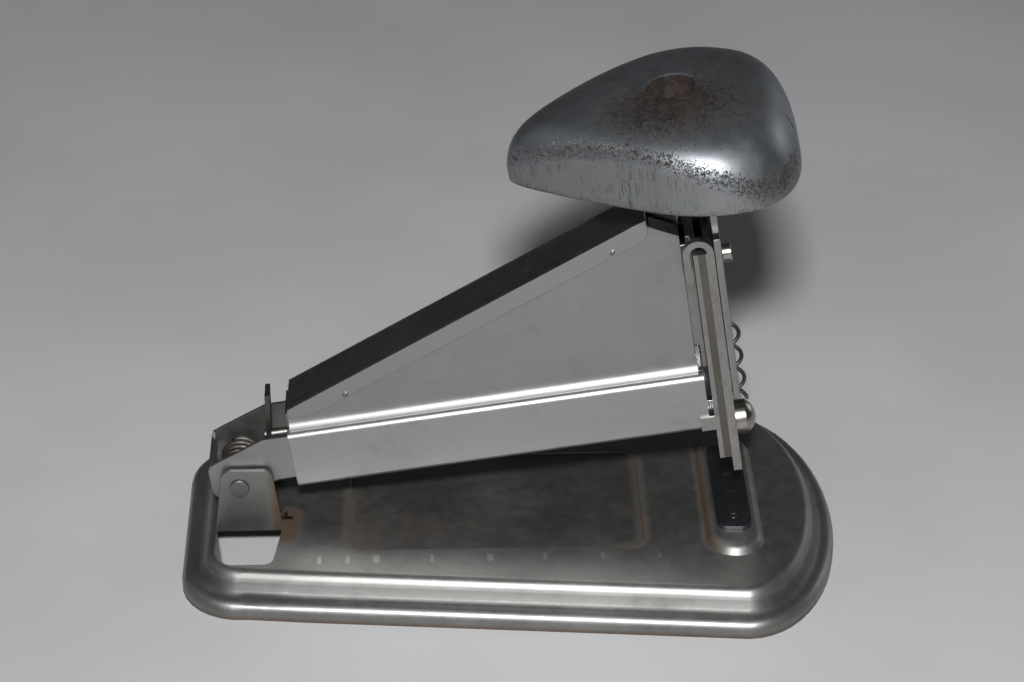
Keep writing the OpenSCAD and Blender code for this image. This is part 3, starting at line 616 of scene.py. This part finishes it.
def dressed(node, finish, width):
    """The CAD node's own shape with every sharp edge broken, as a pressed or filed part has them."""
    bm = bmesh.new()
    bm.from_mesh(frame["nodes"][node].data)
    bmesh.ops.remove_doubles(bm, verts=bm.verts, dist=2e-6)
    bmesh.ops.dissolve_limit(bm, angle_limit=math.radians(0.6), verts=bm.verts, edges=bm.edges)
    bm.normal_update()
    if node == "base_plate":
        round_off(bm, [e for e in sharp_edges(bm) if panel_fold(e)], FOLD_R, FOLD_SEGMENTS)
    if width > 0:
        round_off(bm, sharp_edges(bm), width, EDGE_SEGMENTS)
    shade(bm, CRISP_DEG)
    piece = add(bm, finish, node)
    normals = piece.modifiers.new("shade", "WEIGHTED_NORMAL")
    normals.keep_sharp = True
    normals.weight = 80
    return piece


# ---- palm head, in its own frame: X towards the nose, Z up
HEAD = dict(u=115.2, w=63.0, pitch=-0.6, yaw=-1.2, roll=0.7, mid=-12.0, crest=-6.05, half_l=31.5,
            half_w=27.7 / 1.203, flare=0.63, end=1.84, side=3.16, dome=3.3, crease=12.0, lift=1.4, high=17.6,
            wall=2.2)
HEAD_POINTS, DOME_ROWS, INNER_ROWS, DOME_END, INNER_END = 220, 30, 8, 80.5, 0.935
SCREW_U, SCREW_R, BORE_R, BORE_FLOOR_W, BOSS_R, SADDLE_W, CROWN_W = 109.0, 2.45, 5.0, 70.0, 6.4, 66.4, 80.5
BORE_LIP, BORE_CORNER, FOOT_R, FOOT_SHARE = 0.35, 0.3, 0.35, 0.06
HIDDEN_RIDGE, FOOT_RIDGE, FAR_FROM_RIM, INNER_RIM = 30.0, -9.0, 9.0, 0.9


def signed_power(v, p):
    return math.copysign(abs(v) ** p, v)


def head_rim(a, inset):
    """The head's outline in plan, wider towards the nose."""
    c, s = math.cos(a), math.sin(a)
    return (HEAD["mid"] + (HEAD["half_l"] - inset) * signed_power(c, 2 / HEAD["end"]),
            (HEAD["half_w"] * (1 + HEAD["flare"] * c) - inset) * signed_power(s, 2 / HEAD["side"]))


def head_band(a, inset=0.0):
    """Height of the upright band at the head's edge: tall at the sides, lowest at the nose."""
    h = 5.04 - 5.44 * math.cos(a) - 6.01 * math.cos(2 * a) - 1.2
    return 1.2 + (h + math.sqrt(h * h + 2)) / 2 - inset * 0.3


def head_foot(a):
    """The lower edge rises towards the rear."""
    return HEAD["lift"] * max(0.0, -math.cos(a)) ** 2


def dome_step(q):
    """How far in and how far up a level of the dome lies, starting with a crease at the band."""
    p, crease = 2 / HEAD["dome"], math.radians(HEAD["crease"])
    k0, z0 = math.cos(crease) ** p, math.sin(crease) ** p
    a = crease + (math.radians(DOME_END) - crease) * q
    return math.cos(a) ** p / k0, (math.sin(a) ** p - z0) / (1 - z0)


def even_angles(count):
    """Angles that space the rim's points evenly along it, and the rim's length."""
    fine = [2 * math.pi * i / 4000 for i in range(4001)]
    points = [head_rim(a, 0) for a in fine]
    run = [0.0]
    for p, q in zip(points, points[1:]):
        run.append(run[-1] + math.dist(p, q))
    return [float(np.interp(run[-1] * i / count, run, fine)) for i in range(count)], run[-1]


class HeadSkin:
    """The closed skin as rows of points round the head, each with its place above the crease and the rim."""

    def __init__(self):
        self.place = ARM @ Matrix.Translation((HEAD["u"], 0, HEAD["w"]))
        for turn, axis in (("pitch", "Y"), ("yaw", "Z"), ("roll", "X")):
            self.place = self.place @ Matrix.Rotation(math.radians(HEAD[turn]), 4, axis)
        hole = self.on_screw_axis(CROWN_W)
        self.centre = Vector((hole.x, hole.y, 0))
        self.angles, self.girth = even_angles(HEAD_POINTS)
        self.rows, self.ridges, self.rims = [], [], []

    def on_screw_axis(self, w):
        return self.place.inverted() @ (ARM @ Vector((SCREW_U, 0, w)))

    def ring(self, points, ridge=HIDDEN_RIDGE, rim=FAR_FROM_RIM):
        """Adds a row. ridge and rim are one value, or one for each point."""
        self.rows.append(points)
        self.ridges.append(ridge if isinstance(ridge, list) else [ridge] * HEAD_POINTS)
        self.rims.append(rim if isinstance(rim, list) else [rim] * HEAD_POINTS)

    def outward(self, p):
        return Vector((p.x - self.centre.x, p.y - self.centre.y, 0)).normalized()

    def circle(self, r, z):
        self.ring([self.centre + self.outward(p) * r + Vector((0, 0, z)) for p in self.rows[-1]])

    def level(self, inset, q):
        """One level of the dome and each point's distance above the crease."""
        k, rise = dome_step(q)
        points, ridge = [], []
        top = HEAD["high"] - inset
        for a in self.angles:
            x, y = head_rim(a, inset)
            band = head_band(a, inset)
            ahead = x - HEAD["crest"]
            points.append(Vector((HEAD["crest"] + ahead * k, y * k, band + (top - band) * rise)))
            ridge.append((1 - k) * math.hypot(ahead, y) * 0.9 + rise * (top - band) * 0.6)
        return points, ridge

    def band_rows(self):
        bands = [head_band(a) for a in self.angles]
        for f in (0.0, 0.02, 0.06, 0.2, 0.45, 0.7, 0.88, 0.96):
            inset = FOOT_R * (1 - min(1, f / FOOT_SHARE)) ** 2
            points = [Vector((*head_rim(a, inset), head_foot(a) + (band - head_foot(a)) * f))
                      for a, band in zip(self.angles, bands)]
            self.ring(points, [band * (f - 1) for band in bands], [band * f for band in bands])

    def hole_rows(self):
        """Blends the dome's last row into the round hole."""
        last, ridge = self.rows[-1], self.ridges[-1]
        lip = BORE_R + BORE_LIP
        for f, r, drop in ((0.35, lip, 0.07), (0.7, lip, 0.03), (0.9, lip, 0.03), (1.0, lip, 0.10),
                           (1.0, BORE_R, 0.45)):
            points = []
            for p in last:
                goal = self.centre + self.outward(p) * r
                x, y = p.x + (goal.x - p.x) * f, p.y + (goal.y - p.y) * f
                points.append(Vector((x, y, HEAD["high"] - drop)))
            self.ring(points, [v + 4.0 * f for v in ridge])

    def bore(self):
        floor = self.on_screw_axis(BORE_FLOOR_W).z
        for r, z in ((BORE_R, floor + BORE_CORNER), (BORE_R - BORE_CORNER, floor), (SCREW_R, floor)):
            self.circle(r, z)

    def underside(self):
        """The boss and its face on the saddle, the hollow and the foot's inner edge."""
        saddle = self.on_screw_axis(SADDLE_W).z + 0.05
        ceiling = HEAD["high"] - HEAD["wall"]
        for r, z in ((SCREW_R, saddle), (BOSS_R - BORE_CORNER, saddle), (BOSS_R, saddle + BORE_CORNER),
                     (BOSS_R, ceiling - 1.2), (BOSS_R + 0.8, ceiling - 0.1)):
            self.circle(r, z)
        for j in range(INNER_ROWS, -1, -1):
            self.ring(self.level(HEAD["wall"], INNER_END * j / INNER_ROWS)[0])
        for z, inset in ((0.25, HEAD["wall"]), (0.0, HEAD["wall"] - 0.25)):
            self.ring([Vector((*head_rim(a, inset), z + head_foot(a))) for a in self.angles], FOOT_RIDGE)

    def build(self):
        self.band_rows()
        for j in range(DOME_ROWS + 1):
            self.ring(*self.level(0.0, j / DOME_ROWS))
        self.hole_rows()
        self.bore_start = len(self.rows) - 1
        self.bore()
        self.outer_end = len(self.rows)
        self.underside()

    def near(self, a):
        """1 on the camera's side of the head, fading to 0.42 on the far side."""
        side = min(1.0, max(0.0, (0.35 - math.sin(a)) / 0.7))
        return 0.42 + 0.58 * side * side * (3 - 2 * side)

    def facts(self, i, k):
        """The attributes of point k in row i."""
        p, outer = self.rows[i][k], i < self.outer_end
        dx, dy = p.x - self.centre.x, p.y - self.centre.y
        return {
            "ridge": self.ridges[i][k],
            "rim": self.rims[i][k] if outer else INNER_RIM,
            "hole": math.hypot(dx / 15.0, (dy + 7.5) / 11.0) if outer else FAR_FROM_RIM,
            "around": self.girth * k / HEAD_POINTS,
            "near": self.near(self.angles[k]),
            "spot": math.hypot(p.x - 18.2, p.y + 5.0),
            "bore": 1.0 if self.bore_start <= i < self.outer_end else 0.0,
        }


def head_mesh():
    skin = HeadSkin()
    skin.build()
    verts = [skin.place @ p for points in skin.rows for p in points]
    faces = []
    for i in range(len(skin.rows)):
        here, there = i * HEAD_POINTS, (i + 1) % len(skin.rows) * HEAD_POINTS
        for a in range(HEAD_POINTS):
            b = (a + 1) % HEAD_POINTS
            faces.append((here + a, here + b, there + b, there + a))
    facts = [skin.facts(i, k) for i in range(len(skin.rows)) for k in range(HEAD_POINTS)]
    attributes = {key: np.array([f[key] for f in facts], np.float32) for key in facts[0]}
    bm = from_points(verts, faces, attributes)
    shade(bm, HEAD_CRISP_DEG)
    add(bm, "head", "palm_head")


# ---- springs
WIRE_SIDES = 14
RETURN_U, RETURN_R, RETURN_W, RETURN_WIRE_R = 114.25, 2.4, (-1.5, 19.5), 0.45
HINGE_R, HINGE_HALF_W, HINGE_WIRE_R = 4.2, 4.6, 0.6
HINGE_LEG = [(8.4, -4.8, -12.1), (7.4, -4.75, -9.8), (6.2, -4.7, -7.6), (4.0, -4.65, -5.6)]


def sweep(node, path, radius, side):
    """A round wire along a path. side is a direction that the path never runs along."""
    verts, faces = [], []
    last = len(path) - 1
    for i, p in enumerate(path):
        t = (path[min(i + 1, last)] - path[max(i - 1, 0)]).normalized()
        a = t.cross(side).normalized()
        b = a.cross(t)
        r = radius * (0.72 if i in (0, last) else 1.0)
        for k in range(WIRE_SIDES):
            q = 2 * math.pi * k / WIRE_SIDES
            verts.append(p + r * (math.cos(q) * a + math.sin(q) * b))
    for i in range(last):
        for k in range(WIRE_SIDES):
            a, b = i * WIRE_SIDES + k, i * WIRE_SIDES + (k + 1) % WIRE_SIDES
            faces.append((a, b, b + WIRE_SIDES, a + WIRE_SIDES))
    faces.append(tuple(range(WIRE_SIDES - 1, -1, -1)))
    faces.append(tuple(last * WIRE_SIDES + k for k in range(WIRE_SIDES)))
    bm = from_points(verts, faces)
    for f in bm.faces:
        f.smooth = len(f.verts) == 4
    return add(bm, "spring", node)


def smooth_path(points, per):
    """A Catmull-Rom curve through the points."""
    p = [Vector(v) for v in points]
    out = []
    for i in range(len(p) - 1):
        a, b, c, d = p[max(i - 1, 0)], p[i], p[i + 1], p[min(i + 2, len(p) - 1)]
        for k in range(per):
            t = k / per
            out.append(0.5 * (2 * b + (c - a) * t + (2 * a - 5 * b + 4 * c - d) * t * t
                              + (3 * b - a - 3 * c + d) * t ** 3))
    return out + [p[-1]]


def coil(radius, start, end, turns, per_turn, first_deg=0.0):
    """Points of a helix: two across its axis, then one along it from start to end."""
    n = int(turns * per_turn)
    points = []
    for i in range(n + 1):
        a = math.radians(first_deg + 360 * i / per_turn)
        points.append((radius * math.cos(a), radius * math.sin(a), start + (end - start) * i / n))
    return points


def return_spring():
    path = [ARM @ Vector((RETURN_U + a, b, w)) for a, b, w in coil(RETURN_R, *RETURN_W, 3.5, 44)]
    piece = sweep("return_spring", path, RETURN_WIRE_R, UP)
    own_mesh(piece)


def hinge_spring():
    """A coil round the hinge pin, with one straight leg down through the base."""
    turns = [Vector((a, y, b)) for a, b, y in coil(HINGE_R, -HINGE_HALF_W, HINGE_HALF_W, 5.5, 36, -70)]
    path = smooth_path(HINGE_LEG + turns[:1], 4) + turns[1:]
    sweep("hinge_spring", [ARM @ p for p in path], HINGE_WIRE_R, Vector((0, 1, 0)))


# Each CAD node's finish and the width of its broken edges
DRESS = {
    "base_plate": ("base", 0.30), "anvil_plate": ("anvil", 0.25), "anvil_rivets": ("bare", 0.15),
    "hinge_pin": ("tail", 0.25), "arm_stop": ("dark", 0.2), "stop_rivets": ("bare", 0.15),
    "magazine_channel": ("arm", 0.15), "staple_rail": ("bare", 0.1), "staple_strip": ("wire", 0.1),
    "housing_near": ("side", 0.10), "housing_far": ("side", 0.10), "top_cover": ("cover", 0.16),
    "rear_plate": ("tail", 0.12), "nose_bracket": ("bare", 0.2), "rear_guide": ("nose", 0.15),
    "guide_rails": ("raw", 0.15), "front_plate": ("nose", 0.3), "nose_rivets": ("bare", 0.1),
    "spring_stud": ("stud", 0.12), "plunger_plate": ("nose", 0.25), "driver_blade": ("raw", 0.1),
    "driver_rivet": ("stud", 0.25), "head_screw": ("screw", 0.25), "head_washer": ("screw", 0.15),
    "follower_rod": ("bare", 0.25), "pull_tab": ("dark", 0.2), "follower_block": ("bare", 0.15),
    "follower_spring": ("spring", 0.0),
}
made = {node: dressed(node, finish, width) for node, (finish, width) in DRESS.items()}
head_mesh()
return_spring()
hinge_spring()
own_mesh(made["follower_spring"])


# ---------------------------------------------------------------- floor, light and camera, in metres
def floor():
    g = Graph("table_top")
    cloud = g.step(g.noise(0.012, 3, 0.5), 0.35, 0.65)
    speck = g.step(g.noise(0.22, 3, 0.6, shift=4), 0.70, 0.78) * 0.10
    pale = g.mix(cloud, (0.50, 0.505, 0.515), (0.54, 0.545, 0.555))
    g.plug(g.bsdf.inputs["Base Color"], g.mix(speck, pale, (0.40, 0.38, 0.34)))
    g.plug(g.bsdf.inputs["Roughness"], g.noise(0.05, 2) * 0.1 + 0.42)
    bpy.ops.mesh.primitive_grid_add(x_subdivisions=4, y_subdivisions=4, size=6)
    o = bpy.context.object
    o.name = "table"
    o.data.materials.append(g.material)


def turn_towards(o, direction):
    o.rotation_euler = Vector(direction).to_track_quat("-Z", "Y").to_euler()


def area(name, place, aim, size, watts):
    light = bpy.data.lights.new(name, "AREA")
    light.shape = "RECTANGLE"
    light.size, light.size_y = size
    light.energy = watts
    o = bpy.data.objects.new(name, light)
    bpy.context.scene.collection.objects.link(o)
    o.location = place
    turn_towards(o, Vector(aim) - Vector(place))


def lights():
    area("key", (-0.02, -0.64, 0.60), (0.0, 0.05, 0.03), (0.08, 0.06), 8.6)
    area("fill_left", (-1.2, 0.3, 0.9), (0.0, 0.0, 0.05), (0.9, 0.9), 0.7)
    area("fill_back", (1.3, 0.9, 0.45), (0.0, 0.0, 0.05), (0.7, 0.5), 1.6)
    area("fill_front", (0.2, -1.6, 0.45), (0.0, 0.0, 0.05), (1.8, 0.6), 0.7)
    world = bpy.data.worlds.new("room")
    bpy.context.scene.world = world
    world.use_nodes = True
    colour, strength = world.node_tree.nodes["Background"].inputs[:2]
    colour.default_value = (0.93, 0.97, 1.0, 1)
    strength.default_value = 0.038


def camera():
    data = bpy.data.cameras.new("camera")
    data.lens, data.sensor_width = 105.0, 36.0
    data.clip_start, data.clip_end = 0.01, 20.0
    o = bpy.data.objects.new("camera", data)
    bpy.context.scene.collection.objects.link(o)
    pitch, yaw = math.radians(32.0), 0.0308
    level = math.cos(pitch)
    o.location = (-0.0170, -0.5673, 0.4068)
    turn_towards(o, (math.sin(yaw) * level, math.cos(yaw) * level, -math.sin(pitch)))
    bpy.context.scene.camera = o


floor()
lights()
camera()
bpy.context.scene.view_settings.view_transform = "Standard"
